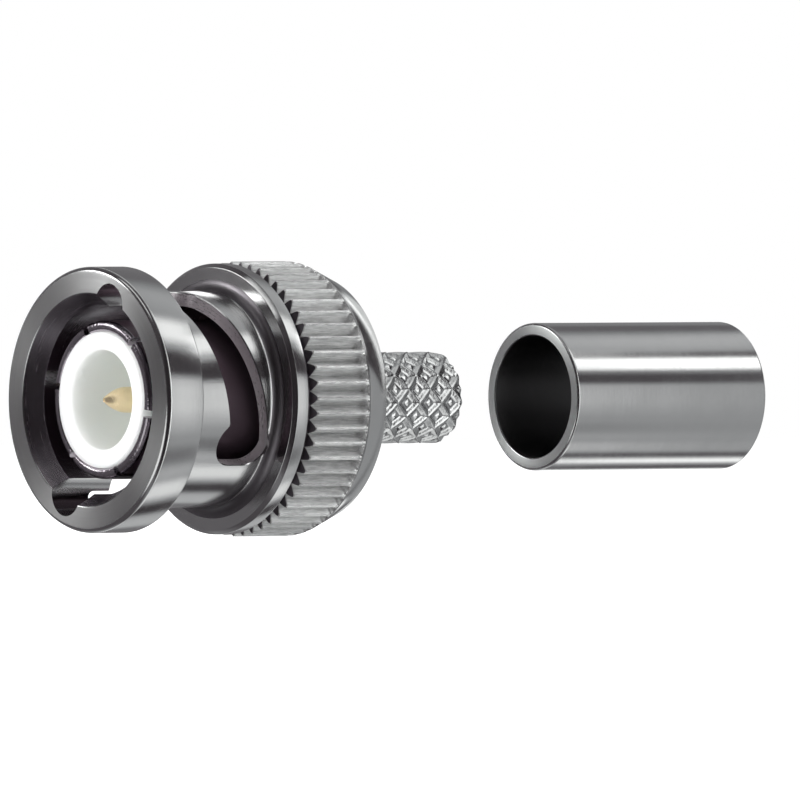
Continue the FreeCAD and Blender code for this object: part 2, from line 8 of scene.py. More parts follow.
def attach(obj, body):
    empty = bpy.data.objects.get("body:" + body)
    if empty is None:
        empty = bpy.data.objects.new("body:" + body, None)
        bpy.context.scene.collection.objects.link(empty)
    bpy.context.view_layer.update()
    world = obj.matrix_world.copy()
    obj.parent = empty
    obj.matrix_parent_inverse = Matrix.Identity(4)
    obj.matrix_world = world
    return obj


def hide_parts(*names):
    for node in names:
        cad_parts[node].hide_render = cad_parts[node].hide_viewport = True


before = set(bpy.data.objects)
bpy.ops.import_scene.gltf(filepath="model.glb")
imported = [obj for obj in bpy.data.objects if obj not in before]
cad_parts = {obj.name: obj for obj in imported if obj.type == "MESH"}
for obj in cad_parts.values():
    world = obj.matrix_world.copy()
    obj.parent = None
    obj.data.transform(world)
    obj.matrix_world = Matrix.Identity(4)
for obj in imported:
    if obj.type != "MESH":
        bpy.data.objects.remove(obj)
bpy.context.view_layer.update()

MM = 0.001
TURN = 2 * math.pi

# Stations along the axis and radii, in millimetres, from the mating face to the cable end.
# The nut's outside
FLANGE_R, FLANGE_END, FLANGE_ROUND = 6.91, 2.35, 0.3
WAIST_R, WAIST_FILLET = 5.64, 0.35
HEAD_START, HEAD_FILLET, HEAD_CHAMFER = 8.17, 0.9, 0.21
BAND_R, BAND_END = 7.05, 9.08
RELIEF_R, SEAM = 6.45, 9.35
TOOTH_R, TOOTH_START, TOOTH_END = 7.15, 9.63, 13.03
TEETH, TOOTH_DEPTH, TOOTH_RUNOUT, TOOTH_LEAD = 55, 0.64, 0.3, 0.05
TAIL_R, NUT_END = 6.42, 14.70
# The nut's inside
MOUTH_R, MOUTH_END = 5.54, 0.95
BORE_R, BORE_END, REAR_BORE_R = 4.93, 10.95, 5.85
RING_GROOVE_R, RING_GROOVE = 6.15, (13.59, 14.15)
# The nut's two bayonet slots
NUT_TURN = math.radians(111.3)
SLOT_R, SLOT_LIP = 1.19, 0.05
LEAD_IN_AXIS_R = 5.19
RAMP_START, RAMP_RISE, RAMP_SWEEP = 4.7, 1.9, math.radians(94)
DETENT_RETURN = 0.8
# Outer contact
CONTACT_START, CONTACT_R, CONTACT_BORE_R = 0.9, 4.12, 3.55
SEAT_START, SEAT_R = 10.05, 4.4
COLLAR_START, COLLAR_END, COLLAR_R = 11.0, 11.9, 5.55
SLEEVE_END, SLEEVE_R = 15.0, 4.2
SLITS, SLIT_WIDTH, SLIT_END, SLIT_TURN = 6, 0.38, 5.1, 11
BLADE_LENGTH, BLADE_WIDTH = 5.0, 12
# Front insulator and centre contact
BEAD_START, BEAD_END, BEAD_R = 0.84, 9.6, 3.54
SOCKET_END, SOCKET_R = 6.36, 2.58
SHOULDER_START, SHOULDER_END, SHOULDER_R = 9.06, 9.56, 1.3
PIN_START, NOSE_LENGTH, NOSE_R, PIN_R = 1.1, 1.45, 0.11, 0.675
PIN_ROOT_START, PIN_ROOT_R = 6.31, 0.9
BARREL_END, BARREL_R, WIRE_START, WIRE_R = 14.56, 1.0, 10.96, 0.45
# Crimp stem
CHAMBER_START, CHAMBER_R, CABLE_R = 11.4, 2.4, 1.9
HUB_END, NECK_R, STEM_START, STEM_END, STEM_R = 16.3, 2.14, 16.9, 23.0, 2.4
STEM_DEPTH, STEM_STARTS, STEM_PITCH, STEM_ROUND = 0.17, 10, 1.44, 0.3
STEM_PHASE, STEM_SHIFT, STEM_CELLS = math.radians(7), 0.64, 12
# Crimp ferrule
FERRULE_START, FERRULE_END, FERRULE_R, FERRULE_BORE_R = 29.4, 42.0, 3.865, 3.21


def rounded(points, fillet, steps=3):
    """A closed outline of (x, r) with each corner rounded. A third number on a point is its own fillet."""
    count = len(points)
    outline = []
    for index, point in enumerate(points):
        radius = point[2] if len(point) > 2 else fillet
        here = Vector(point[:2])
        back = Vector(points[index - 1][:2]) - here
        ahead = Vector(points[(index + 1) % count][:2]) - here
        half = back.angle(ahead) / 2
        if radius <= 0 or half > math.radians(88):
            outline.append(here)
            continue
        reach = min(radius / math.tan(half), back.length * 0.48, ahead.length * 0.48)
        radius = reach * math.tan(half)
        bends = max(steps, round(radius * 16))
        start = here + back.normalized() * reach
        end = here + ahead.normalized() * reach
        centre = here + (back.normalized() + ahead.normalized()).normalized() * radius / math.sin(half)
        for step in range(bends + 1):
            spot = start.lerp(end, step / bends) - centre
            outline.append(centre + spot.normalized() * radius)
    return [(spot.x, spot.y) for spot in outline]


def skin(name, rings, columns, angle=30.0):
    """A mesh through rings round the axis. A ring is (x, r), or a function that gives it for an angle."""
    verts = []
    for ring in rings:
        for column in range(columns):
            turn = TURN * column / columns
            x, r = ring(turn) if callable(ring) else ring
            verts.append((x * MM, r * math.cos(turn) * MM, r * math.sin(turn) * MM))
    faces = []
    for ring in range(len(rings)):
        low = ring * columns
        high = (ring + 1) % len(rings) * columns
        for column in range(columns):
            following = (column + 1) % columns
            faces.append((low + column, low + following, high + following, high + column))
    mesh = bpy.data.meshes.new(name)
    mesh.from_pydata(verts, [], faces)
    return finish_mesh(name, mesh, angle)


def link(name, data):
    thing = bpy.data.objects.new(name, data)
    bpy.context.scene.collection.objects.link(thing)
    return thing


def finish_mesh(name, mesh, angle=30.0):
    tidy = bmesh.new()
    tidy.from_mesh(mesh)
    bmesh.ops.remove_doubles(tidy, verts=tidy.verts, dist=1e-7)
    bmesh.ops.dissolve_degenerate(tidy, edges=tidy.edges, dist=1e-8)
    bmesh.ops.recalc_face_normals(tidy, faces=tidy.faces)
    tidy.to_mesh(mesh)
    tidy.free()
    piece = link(name, mesh)
    smooth(piece, angle)
    return piece


def smooth(piece, angle):
    mesh = piece.data
    mesh.polygons.foreach_set("use_smooth", [True] * len(mesh.polygons))
    mesh.set_sharp_from_angle(angle=math.radians(angle))


def weigh(piece):
    """Shades the small rounded edges smoothly and keeps the large faces flat."""
    weighted = piece.modifiers.new("Weighted", "WEIGHTED_NORMAL")
    weighted.keep_sharp = True
    weighted.weight = 100


def bake(piece):
    """Applies the piece's modifiers to its mesh."""
    graph = bpy.context.evaluated_depsgraph_get()
    made = bpy.data.meshes.new_from_object(piece.evaluated_get(graph))
    piece.modifiers.clear()
    piece.data = made


def carve(piece, cutters):
    """Cuts the cutters out of a piece and deletes them."""
    for cutter in cutters:
        cut = piece.modifiers.new("Cut", "BOOLEAN")
        cut.operation = "DIFFERENCE"
        cut.solver = "EXACT"
        cut.object = cutter
    bake(piece)
    for cutter in cutters:
        bpy.data.objects.remove(cutter)


def place(piece, body, material, node):
    piece.data.materials.clear()
    piece.data.materials.append(material)
    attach(piece, body)
    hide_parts(node)


def paint(piece, platings, pick):
    """Further platings for some faces, among them darker and lighter copies of the nickel that paint shade
    and light. pick takes a face's x, its radius and the face, and gives a number.
    """
    for plating in platings:
        piece.data.materials.append(plating)
    for face in piece.data.polygons:
        face.material_index = pick(face.center.x / MM, face.center.yz.length / MM, face)


class Shader:
    """A material's node tree, with short calls for the nodes used most."""

    def __init__(self, name):
        self.material = bpy.data.materials.new(name)
        self.material.use_nodes = True
        self.tree = self.material.node_tree
        self.tree.nodes.clear()
        self.output = self.add("ShaderNodeOutputMaterial")

    def add(self, kind, **settings):
        node = self.tree.nodes.new(kind)
        for key, value in settings.items():
            setattr(node, key, value)
        return node

    def feed(self, socket, value):
        if isinstance(value, bpy.types.NodeSocket):
            self.tree.links.new(value, socket)
        else:
            socket.default_value = value

    def math(self, operation, *values):
        node = self.add("ShaderNodeMath", operation=operation)
        for socket, value in zip(node.inputs, values):
            self.feed(socket, value)
        return node.outputs[0]

    def noise(self, vector, scale, detail=2.0, roughness=0.5):
        node = self.add("ShaderNodeTexNoise")
        self.feed(node.inputs["Vector"], vector)
        self.feed(node.inputs["Scale"], scale)
        self.feed(node.inputs["Detail"], detail)
        self.feed(node.inputs["Roughness"], roughness)
        return node.outputs["Fac"]

    def spread(self, value, low, high, from_low=0.3, from_high=0.7):
        node = self.add("ShaderNodeMapRange")
        for socket, number in zip(node.inputs, (value, from_low, from_high, low, high)):
            self.feed(socket, number)
        return node.outputs[0]

    def vector(self, x, y, z):
        node = self.add("ShaderNodeCombineXYZ")
        for socket, value in zip(node.inputs, (x, y, z)):
            self.feed(socket, value)
        return node.outputs[0]

    def mix(self, factor, first, second):
        node = self.add("ShaderNodeMix", data_type="RGBA")
        self.feed(node.inputs[0], factor)
        self.feed(node.inputs[6], first)
        self.feed(node.inputs[7], second)
        return node.outputs[2]

    def bump(self, height, strength, distance, normal=None):
        node = self.add("ShaderNodeBump")
        self.feed(node.inputs["Height"], height)
        node.inputs["Strength"].default_value = strength
        node.inputs["Distance"].default_value = distance * MM
        if normal is not None:
            self.feed(node.inputs["Normal"], normal)
        return node.outputs[0]

    def principled(self, **sockets):
        node = self.add("ShaderNodeBsdfPrincipled")
        for name, value in sockets.items():
            self.feed(node.inputs[name.replace("_", " ")], value)
        self.tree.links.new(node.outputs[0], self.output.inputs[0])
        return node

    def round_axis(self):
        """Millimetres along the axis, out from it, and round it in radians."""
        position = self.add("ShaderNodeTexCoord").outputs["Object"]
        parts = self.add("ShaderNodeSeparateXYZ")
        self.feed(parts.inputs[0], position)
        x, y, z = parts.outputs
        out = self.math("SQRT", self.math("ADD", self.math("MULTIPLY", y, y), self.math("MULTIPLY", z, z)))
        return (self.math("MULTIPLY", x, 1000.0), self.math("MULTIPLY", out, 1000.0),
                self.math("ARCTAN2", z, y), position)


HAZE_DARK, SCRATCH_DEPTH, STREAK_DARK = 0.95, 0.03, 0.64


def shade(color, share=1.0):
    return tuple(c * share for c in color) + (1,)


def plated(name, color, roughness, lines=0.06, grain=0.0, brushed=0.6, crest=None, domed=0.0, metallic=1.0):
    """Metal plate over turned brass: fine tool lines round the axis, faint haze and hairline scratches.

    lines and grain are the depths of the tool lines and the grain, and brushed is how far a light stretches
    across the lines. crest is the roughness of a knurl's crests, with streaks along them. domed tilts a flat
    ring outwards.
    """
    shader = Shader(name)
    along, out, turn, position = shader.round_axis()
    tool = shader.vector(shader.math("MULTIPLY", along, 9.0), shader.math("MULTIPLY", out, 9.0),
                         shader.math("MULTIPLY", turn, 0.6))
    tool_lines = shader.noise(tool, 1.6, 4.0, 0.7)
    haze = shader.noise(position, 420.0, 3.0, 0.6)
    specks = shader.noise(position, 5200.0, 2.0, 0.6)
    hair = shader.noise(shader.vector(shader.math("MULTIPLY", along, 0.6), shader.math("MULTIPLY", out, 3.0),
                                      shader.math("MULTIPLY", turn, 22.0)), 2.2, 3.0, 0.7)
    tone = shader.mix(shader.spread(haze, 0.0, 1.0), shade(color, HAZE_DARK), shade(color))
    rough = shader.math("ADD", shader.spread(haze, roughness * 0.9, roughness * 1.1),
                        shader.spread(tool_lines, 0.0, roughness * 0.4))
    normal = shader.bump(hair, SCRATCH_DEPTH, 0.02)
    if domed:
        normal = shader.bump(shader.math("MULTIPLY", out, -1.0), 1.0, domed, normal)
    if lines:
        normal = shader.bump(tool_lines, lines, 0.02, normal)
    if crest is not None:
        rough = shader.spread(out, roughness, crest, TOOTH_R - 0.12, TOOTH_R - 0.03)
        streaks = shader.noise(shader.vector(along, shader.math("MULTIPLY", out, 9.0),
                                             shader.math("MULTIPLY", turn, 62.0)), 1.0, 5.0, 0.75)
        normal = shader.bump(streaks, 0.7, 0.03, normal)
        tone = shader.mix(shader.spread(streaks, 0.0, 1.0, 0.4, 0.6), shade(color, STREAK_DARK), shade(color))
    if grain:
        normal = shader.bump(specks, grain, 0.03, normal)
    round_part = shader.add("ShaderNodeTangent", direction_type="RADIAL", axis="X").outputs[0]
    shader.principled(Base_Color=tone, Metallic=metallic, Roughness=rough, Normal=normal, Anisotropic=brushed,
                      Anisotropic_Rotation=0.25, Tangent=round_part)
    return shader.material


NICKEL = (0.62, 0.615, 0.62)
nut_plate = plated("NutNickel", NICKEL, 0.12, lines=0.14, grain=0.04)
face_plate = plated("NutFaceNickel", NICKEL, 0.45, lines=0.3, grain=0.25, brushed=0.85, domed=0.14)
# A darker copy of the nickel: painted shade inside the nut's mouth.
mouth_shade_plate = plated("MouthPaintedShade", (0.38, 0.35, 0.38), 0.2, lines=0.35, grain=0.4)
slot_plate = plated("SlotNickel", (0.62, 0.57, 0.6), 0.25, lines=0.2, grain=0.6, metallic=0.72)
# A dark copy of the nickel: painted shade in the fillet in front of the knurled head.
fillet_shade_plate = plated("HeadFilletPaintedShade", (0.21, 0.195, 0.21), 0.28, lines=0.25, grain=0.15)
# A lighter copy of the nickel: painted light on the knurl's rough flanks.
knurl_light_plate = plated("KnurlPaintedLight", (0.87, 0.87, 0.87), 0.42, lines=0.0, grain=0.2, crest=0.15, brushed=0.0,
                     metallic=0.85)
# A dark copy of the nickel: painted shade on the teeth's front faces, which face the shaded relief groove.
tooth_front_shade_plate = plated("ToothFrontPaintedShade", (0.2, 0.18, 0.2), 0.3, lines=0.0, grain=0.1)
# A dark copy of the nickel: painted shade inside the ferrule's bore.
bore_shade_plate = plated("FerruleBorePaintedShade", (0.2, 0.195, 0.2), 0.3)
# A darker copy of the nickel: painted shade on the outer contact's fingers deep in the nut's mouth.
contact_shade_plate = plated("ContactPaintedShade", (0.42, 0.38, 0.42), 0.14, lines=0.2, grain=0.7)
# Nearly black: painted shade on the outer contact where it shows through the bayonet slots.
sleeve_shade_plate = plated("SleevePaintedShade", (0.085, 0.058, 0.074), 0.35, grain=0.1, metallic=0.6)
# A darker copy of the nickel: painted shade on the knurled crimp stem.
stem_shade_plate = plated("StemPaintedShade", (0.5, 0.5, 0.505), 0.1, lines=0.0, grain=0.2, brushed=0.0)
ferrule_plate = plated("FerruleNickel", NICKEL, 0.13, lines=0.1, grain=0.03)
# A lighter copy of the nickel: painted light on the ferrule's flat end rings.
end_light_plate = plated("FerruleEndPaintedLight", (0.88, 0.9, 0.89), 0.35, lines=0.1)
spring_plate = plated("SpringSteel", (0.5, 0.5, 0.5), 0.25)
gold_plate = plated("PinGold", (1.0, 0.81, 0.52), 0.2, lines=0.1, metallic=0.85)

white = Shader("WhiteInsulator")
along, out, turn, position = white.round_axis()
cloud = white.noise(position, 260.0, 3.0)
turned = white.vector(white.math("MULTIPLY", along, 5.0), white.math("MULTIPLY", out, 5.0), turn)
turned = white.noise(turned, 2.0)
white.principled(
    Base_Color=white.mix(white.spread(cloud, 0.0, 1.0), (0.875, 0.94, 0.93, 1), (0.925, 0.98, 0.97, 1)),
    Roughness=white.spread(cloud, 0.32, 0.45), Normal=white.bump(turned, 0.05, 0.03),
    Subsurface_Weight=0.9, Subsurface_Radius=(0.97, 1.0, 0.98), Subsurface_Scale=2.5 * MM)
white_plastic = white.material

rubber = Shader("GasketRubber")
dust = rubber.noise(rubber.round_axis()[3], 1500.0, 3.0)
rubber.principled(
    Base_Color=rubber.mix(rubber.spread(dust, 0.0, 1.0), (0.03, 0.02, 0.02, 1), (0.07, 0.04, 0.045, 1)),
    Roughness=rubber.spread(dust, 0.5, 0.75), Normal=rubber.bump(dust, 0.3, 0.03))
gasket_rubber = rubber.material


def slot_cutter(number):
    """The cam slot's space: lead-in corner, ramp and round detent, with a flared lip outside."""
    columns = 140
    inside, outside = 4.0, 7.4
    flare = 2 * SLOT_LIP
    verts = []
    faces = []
    rings = [(inside, 0.0), (WAIST_R - SLOT_LIP, 0.0), (WAIST_R + SLOT_LIP, flare), (outside, flare)]
    base = NUT_TURN + number * math.pi
    for radius, grow in rings:
        slot = SLOT_R + grow
        end = math.asin(slot / WAIST_R)
        for column in range(columns + 1):
            share = (1 - math.cos(math.pi * column / columns)) / 2
            turn = -end + share * (RAMP_SWEEP + 2 * end)
            beyond = min(turn, 0.0) + max(turn - RAMP_SWEEP, 0.0)
            inner = min(max(turn, 0.0), RAMP_SWEEP)
            reach = math.sqrt(max(slot ** 2 - (WAIST_R * math.sin(beyond)) ** 2, 0.0))
            centre = RAMP_START + RAMP_RISE * inner / RAMP_SWEEP
            rear = centre + reach
            front = centre - reach
            if turn > RAMP_SWEEP - end:
                across = WAIST_R * math.sin(turn - RAMP_SWEEP)
                detent = RAMP_START + RAMP_RISE - DETENT_RETURN - math.sqrt(max(slot ** 2 - across ** 2, 0.0))
                front = min(front, detent) if turn < RAMP_SWEEP else detent
            angle = base + inner + math.asin(max(-1, min(1, WAIST_R * math.sin(beyond) / radius)))
            for x in (front, rear):
                verts.append((x * MM, radius * math.cos(angle) * MM, radius * math.sin(angle) * MM))
    row = 2 * (columns + 1)
    for ring in range(len(rings) - 1):
        for column in range(columns):
            for side in (0, 1):
                a = ring * row + 2 * column + side
                faces.append((a, a + 2, a + 2 + row, a + row) if side else (a, a + row, a + 2 + row, a + 2))
        for column in (0, columns):
            a = ring * row + 2 * column
            b = a + row
            faces.append((a, a + 1, b + 1, b) if column == 0 else (a, b, b + 1, a + 1))
    for ring in (0, len(rings) - 1):
        for column in range(columns):
            a = ring * row + 2 * column
            faces.append((a, a + 2, a + 3, a + 1) if ring == 0 else (a, a + 1, a + 3, a + 2))
    mesh = bpy.data.meshes.new("SlotCutter%d" % number)
    mesh.from_pydata(verts, [], faces)
    return finish_mesh("SlotCutter%d" % number, mesh)


def lead_in_cutter(number):
    """A round rod along the axis, from before the mating face to the slot's corner."""
    start = -1.0
    name = "LeadIn%d" % number
    angle = NUT_TURN + number * math.pi
    centre = Vector((0, LEAD_IN_AXIS_R * math.cos(angle), LEAD_IN_AXIS_R * math.sin(angle)))
    along_axis = Vector((1, 0, 0))
    mesh = bpy.data.meshes.new(name)
    rod = bmesh.new()
    bmesh.ops.create_cone(rod, cap_ends=True, segments=64, radius1=SLOT_R * MM, radius2=SLOT_R * MM,
                          depth=(RAMP_START - start) * MM)
    turn = along_axis.to_track_quat("Z", "Y").to_matrix().to_4x4()
    rod.transform(Matrix.Translation((centre + along_axis * (start + RAMP_START) / 2) * MM) @ turn)
    rod.to_mesh(mesh)
    rod.free()
    return link(name, mesh)


def slit_cutter(number):
    """A blade across the fingers, which cuts two of the slits."""
    name = "Slit%d" % number
    angle = math.radians(SLIT_TURN + 360 / SLITS * number)
    mesh = bpy.data.meshes.new(name)
    blade = bmesh.new()
    bmesh.ops.create_cube(blade, size=1.0)
    middle = Matrix.Translation(((SLIT_END - BLADE_LENGTH / 2) * MM, 0, 0))
    size = Matrix.Diagonal((BLADE_LENGTH * MM, BLADE_WIDTH * MM, SLIT_WIDTH * MM, 1))
    blade.transform(Matrix.Rotation(angle, 4, "X") @ middle @ size)
    blade.to_mesh(mesh)
    blade.free()
    return link(name, mesh)


nut_front = skin("nut_front", rounded([
    (0, MOUTH_R, 0.1), (0, FLANGE_R, FLANGE_ROUND), (FLANGE_END, FLANGE_R, 0.1),
    (FLANGE_END, WAIST_R, WAIST_FILLET),
    (HEAD_START, WAIST_R, HEAD_FILLET), (HEAD_START, BAND_R - HEAD_CHAMFER, 0.04),
    (HEAD_START + HEAD_CHAMFER, BAND_R, 0.05),
    (BAND_END, BAND_R, 0.04), (BAND_END, RELIEF_R, 0.03), (SEAM, RELIEF_R, 0), (SEAM, BORE_R, 0),
    (MOUTH_END, BORE_R, 0.1),
], 0.04, 4), 216)
carve(nut_front, [slot_cutter(0), slot_cutter(1), lead_in_cutter(0), lead_in_cutter(1)])
smooth(nut_front, 28)
weigh(nut_front)

TOOTH_PITCH = TURN / TEETH
TOOTH_LAND = 0.14


def tooth_ring(x, rise=0.0, lower=0.0):
    """The knurl's outline at x: rounded crests with sharp valleys. rise lifts the valleys, from 0 to 1."""
    def ring(turn):
        share = abs((turn / TOOTH_PITCH) % 1.0 - 0.5) * 2
        flank = (share - TOOTH_LAND) / (1 - TOOTH_LAND)
        fall = math.sqrt(max(flank, 0.0) ** 2 + 0.012) if flank > -0.11 else 0.0
        fall = max(fall - 0.1 * (1 - share), 0.0)
        return x, TOOTH_R - TOOTH_DEPTH * (1 - rise) * min(fall, 1.0) - lower
    return ring


rear_rings = [(SEAM, BORE_R), (SEAM, RELIEF_R), (TOOTH_START, RELIEF_R)]
rear_rings += [tooth_ring(TOOTH_START, lower=0.06), tooth_ring(TOOTH_START + TOOTH_LEAD)]
plain_teeth = TOOTH_END - TOOTH_RUNOUT - TOOTH_START - TOOTH_LEAD
for step in range(1, 12):
    rear_rings.append(tooth_ring(TOOTH_START + TOOTH_LEAD + step * plain_teeth / 12))
for step in range(0, 7):
    rear_rings.append(tooth_ring(TOOTH_END - TOOTH_RUNOUT * (1 - step / 6.5), rise=0.97 * (step / 6) ** 1.6))
rear_rings += rounded([
    (TOOTH_END, TOOTH_R - 0.04, 0.02), (TOOTH_END + 0.03, TOOTH_R - 0.2, 0.02),
    (TOOTH_END + 0.1, TOOTH_R - 0.2, 0.02), (TOOTH_END + 0.14, TOOTH_R - 0.08, 0.03),
    (NUT_END, TAIL_R, 0.06), (NUT_END, REAR_BORE_R + 0.2, 0.03),
    (NUT_END - 0.2, REAR_BORE_R, 0.03), (RING_GROOVE[1], REAR_BORE_R, 0.02),
    (RING_GROOVE[1], RING_GROOVE_R, 0.02), (RING_GROOVE[0], RING_GROOVE_R, 0.02),
    (RING_GROOVE[0], REAR_BORE_R, 0.02), (BORE_END, REAR_BORE_R, 0.02), (BORE_END, BORE_R, 0.03),
], 0.03, 2)
nut_rear = skin("nut_rear", rear_rings, TEETH * 14, 24)
weigh(nut_rear)

outer_contact = skin("outer_contact_fingers", rounded([
    (CONTACT_START, CONTACT_BORE_R, 0.2), (CONTACT_START, CONTACT_R, 0.26), (SEAT_START, CONTACT_R, 0.02),
    (SEAT_START, SEAT_R, 0.04), (COLLAR_START, SEAT_R, 0.02), (COLLAR_START, COLLAR_R, 0.12),
    (COLLAR_END, COLLAR_R, 0.12), (COLLAR_END, SLEEVE_R, 0.03), (SLEEVE_END, SLEEVE_R, 0.03),
    (SLEEVE_END, CONTACT_BORE_R, 0.02),
], 0.05, 4), 180)
carve(outer_contact, [slit_cutter(number) for number in range(SLITS // 2)])
smooth(outer_contact, 28)
weigh(outer_contact)

insulator = skin("front_bead", rounded([
    (BEAD_START, SOCKET_R, 0.26), (BEAD_START, BEAD_R, 0.07), (BEAD_END, BEAD_R, 0.05),
    (BEAD_END, SHOULDER_R + 0.04, 0.03), (SHOULDER_START - 0.04, SHOULDER_R + 0.04, 0.03),
    (SHOULDER_START - 0.04, PIN_ROOT_R + 0.04, 0.03), (SOCKET_END, PIN_ROOT_R + 0.04, 0.05),
    (SOCKET_END, SOCKET_R, 0.25),
], 0.05, 5), 144, 40)
weigh(insulator)

pin_rings = [(PIN_START + 0.06, 0.0), (PIN_START + 0.02, 0.045), (PIN_START, 0.075)]
for step in range(9):
    share = step / 8
    swell = math.sin(share * math.pi / 2) ** 0.95
    pin_rings.append((PIN_START + NOSE_LENGTH * share, NOSE_R + (PIN_R - NOSE_R) * swell))
pin_rings += rounded([
    (PIN_ROOT_START, PIN_R, 0.02), (PIN_ROOT_START, PIN_ROOT_R, 0.03), (SHOULDER_START, PIN_ROOT_R, 0.02),
    (SHOULDER_START, SHOULDER_R, 0.04), (SHOULDER_END, SHOULDER_R, 0.04), (SHOULDER_END, BARREL_R, 0.02),
    (BARREL_END, BARREL_R, 0.05), (BARREL_END, WIRE_R, 0.05), (WIRE_START, WIRE_R, 0.02),
    (WIRE_START, 0.0, 0),
], 0.02, 2)
pin = skin("pin_gold", pin_rings, 64, 35)
weigh(pin)


def stem_radius(x, turn):
    """Two sets of sharp ridges with shallow pits between them, rounded over at the stem's end."""
    row = (STEM_END + STEM_SHIFT - x) / STEM_PITCH
    column = (turn - STEM_PHASE) * STEM_STARTS / TURN
    gaps = [abs(value - round(value)) for value in (row + column + 0.5, row - column + 0.5)]
    from_ridge = min(gaps) * 4
    radius = STEM_R - STEM_DEPTH * (min(1.0, from_ridge) - 0.7 * max(0.0, from_ridge - 1.0) ** 1.5)
    over = x - (STEM_END - STEM_ROUND)
    if over > 0:
        radius -= STEM_ROUND - math.sqrt(max(STEM_ROUND ** 2 - over ** 2, 0.0))
    return radius


def diamond_ring(x):
    return lambda turn: (x, stem_radius(x, turn))


stem_rings = rounded([
    (CHAMBER_START, CHAMBER_R, 0.02), (CHAMBER_START, CONTACT_BORE_R - 0.01, 0.05),
    (SLEEVE_END, CONTACT_BORE_R - 0.01, 0), (SLEEVE_END, SLEEVE_R, 0.04), (HUB_END, SLEEVE_R, 0.14),
    (HUB_END, NECK_R, 0.03),
], 0.03, 3)
stem_rings.append((STEM_START - 0.02, NECK_R))
step_length = STEM_PITCH / 2 / STEM_CELLS
steps = int((STEM_END - 0.02 - STEM_START) / step_length)
for step in range(steps + 1):
    stem_rings.append(diamond_ring(STEM_END - 0.02 - (steps - step) * step_length))
stem_rings += [
    (STEM_END, CABLE_R + 0.06), (STEM_END, CABLE_R + 0.03), (STEM_END - 0.03, CABLE_R), (SLEEVE_END, CABLE_R),
    (SLEEVE_END, CHAMBER_R),
]
stem = skin("stem_knurled", stem_rings, 2 * STEM_STARTS * STEM_CELLS, 14)

ferrule = skin("ferrule_sleeve", rounded([
    (FERRULE_START, FERRULE_BORE_R, 0.08), (FERRULE_START, FERRULE_R, 0.16), (FERRULE_END, FERRULE_R, 0.16),
    (FERRULE_END, FERRULE_BORE_R, 0.08),
], 0.05, 5), 192)
weigh(ferrule)

# How far a normal points along the axis on a flat face, out from it at most on a slot's wall, and towards it
# on the mouth
SQUARE, SLOT_WALL, MOUTH_LEAN = 0.99, 0.3, 0.7


# Picks the nut front's platings: 1 the brushed mating face, 2 the mouth in painted shade, 3 the slot walls, 4
# the head fillet in painted shade.
def nut_front_finish_and_shade(x, r, face):
    spoke = face.center.yz.normalized()
    outward = face.normal.y * spoke.x + face.normal.z * spoke.y
    if face.normal.x < -SQUARE and x < 0.1:
        return 1
    if r < MOUTH_R - 0.06 and outward < -MOUTH_LEAN:
        return 2
    if RAMP_START - 1.3 < x < HEAD_START - 0.27 and abs(outward) < SLOT_WALL and r > BORE_R + 0.02:
        return 3
    if HEAD_START - HEAD_FILLET < x < HEAD_START and r > WAIST_R + 0.02:
        return 4
    return 0


# Picks the nut rear's platings: 1 the knurl in painted light, 2 the teeth's front faces in painted shade.
def nut_rear_light_and_shade(x, r, face):
    if TOOTH_START + 0.02 < x < TOOTH_END and r > RELIEF_R:
        return 1
    if TOOTH_START - 0.3 < x <= TOOTH_START + 0.02 and r > BORE_R + 0.01:
        return 2
    return 0


# Picks the outer contact's faces seen through the slots, which get painted shade.
def contact_shade_faces(x, r, face):
    return 1 if 2.2 < x < SEAT_START + 0.05 and r > CONTACT_R - 0.12 else 0


# Picks the ferrule's platings: 1 the bore in painted shade, 2 the flat end rings in painted light.
def ferrule_shade_and_light(x, r, face):
    if r < FERRULE_BORE_R + 0.04:
        return 1
    return 2 if abs(face.normal.x) > SQUARE else 0


place(nut_front, "coupling", nut_plate, "coupling_nut")
paint(nut_front, (face_plate, mouth_shade_plate, slot_plate, fillet_shade_plate), nut_front_finish_and_shade)
place(nut_rear, "coupling", nut_plate, "coupling_nut")
paint(nut_rear, (knurl_light_plate, tooth_front_shade_plate), nut_rear_light_and_shade)
place(outer_contact, "body", contact_shade_plate, "outer_contact")
paint(outer_contact, (sleeve_shade_plate,), contact_shade_faces)
place(insulator, "body", white_plastic, "front_insulator")
place(pin, "body", gold_plate, "centre_contact")
place(stem, "body", stem_shade_plate, "crimp_stem")
place(ferrule, "ferrule", ferrule_plate, "crimp_ferrule")
paint(ferrule, (bore_shade_plate, end_light_plate), ferrule_shade_and_light)

carried = {
    "rear_insulator": white_plastic, "sealing_gasket": gasket_rubber, "spring_washer_front": spring_plate,
    "spring_washer_rear": spring_plate, "flat_washer": spring_plate, "retaining_ring": spring_plate,
}
for name, material in carried.items():
    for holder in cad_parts[name].material_slots:
        holder.material = material


PIXELS_PER_MM, PIXELS_ACROSS = 19.15, 800
VIEW = Vector((0.6157, 0.7880, 0)).normalized()
AIM = Vector((20.58, 0, -0.12)) * MM
LENS, SENSOR, ROLL = 1500.0, 36.0, math.radians(-0.42)
camera_data = bpy.data.cameras.new("Camera")
camera_data.lens = LENS
camera_data.sensor_width = SENSOR
camera_data.clip_start = 0.01
camera_data.clip_end = 20
camera = link("Camera", camera_data)
camera.location = AIM - VIEW * LENS / SENSOR * PIXELS_ACROSS / PIXELS_PER_MM * MM
camera.rotation_mode = "QUATERNION"
roll = Matrix.Rotation(ROLL, 3, "Z").to_quaternion()
camera.rotation_quaternion = VIEW.to_track_quat("-Z", "Y") @ roll
bpy.context.scene.camera = camera
bpy.context.scene.view_settings.view_transform = "Standard"

FLOOR_Z, FLOOR_HALF = -7.16, 3000


